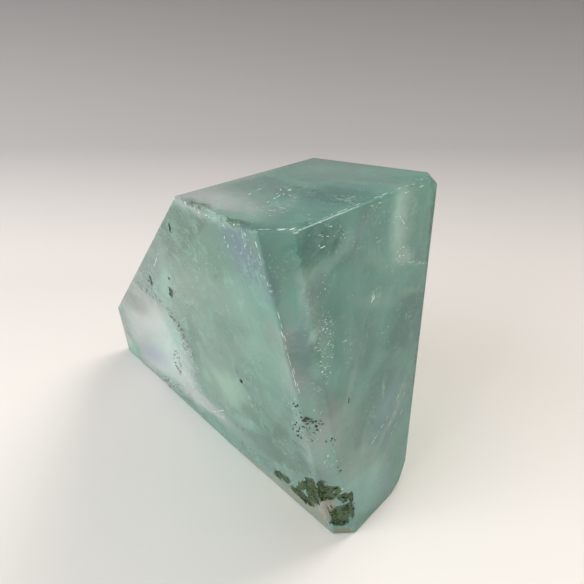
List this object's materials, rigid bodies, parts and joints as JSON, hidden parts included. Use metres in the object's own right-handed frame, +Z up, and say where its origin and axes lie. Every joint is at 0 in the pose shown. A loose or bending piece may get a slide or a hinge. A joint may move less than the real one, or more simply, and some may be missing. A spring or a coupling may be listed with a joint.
{
  "type": "fluorite polyhedron",
  "caption": "Free-form polished polyhedron of green banded fluorite, with an overhanging broad face and a frosted scar, standing on a flat facet.",
  "frame": {"origin": "on the rest facet's plane, under the middle of the stone's bounding box", "axes": "+Z up from the rest facet, +Y along the stone's longest reach towards its low back, +X to the upright right edge"},
  "size_m": [0.0648, 0.079, 0.0578],
  "materials": {
    "fluorite": "polished translucent green fluorite with cloudy veils"
  },
  "bodies": {
    "root": {"fluorite": "fluorite"}
  },
  "joints": []
}
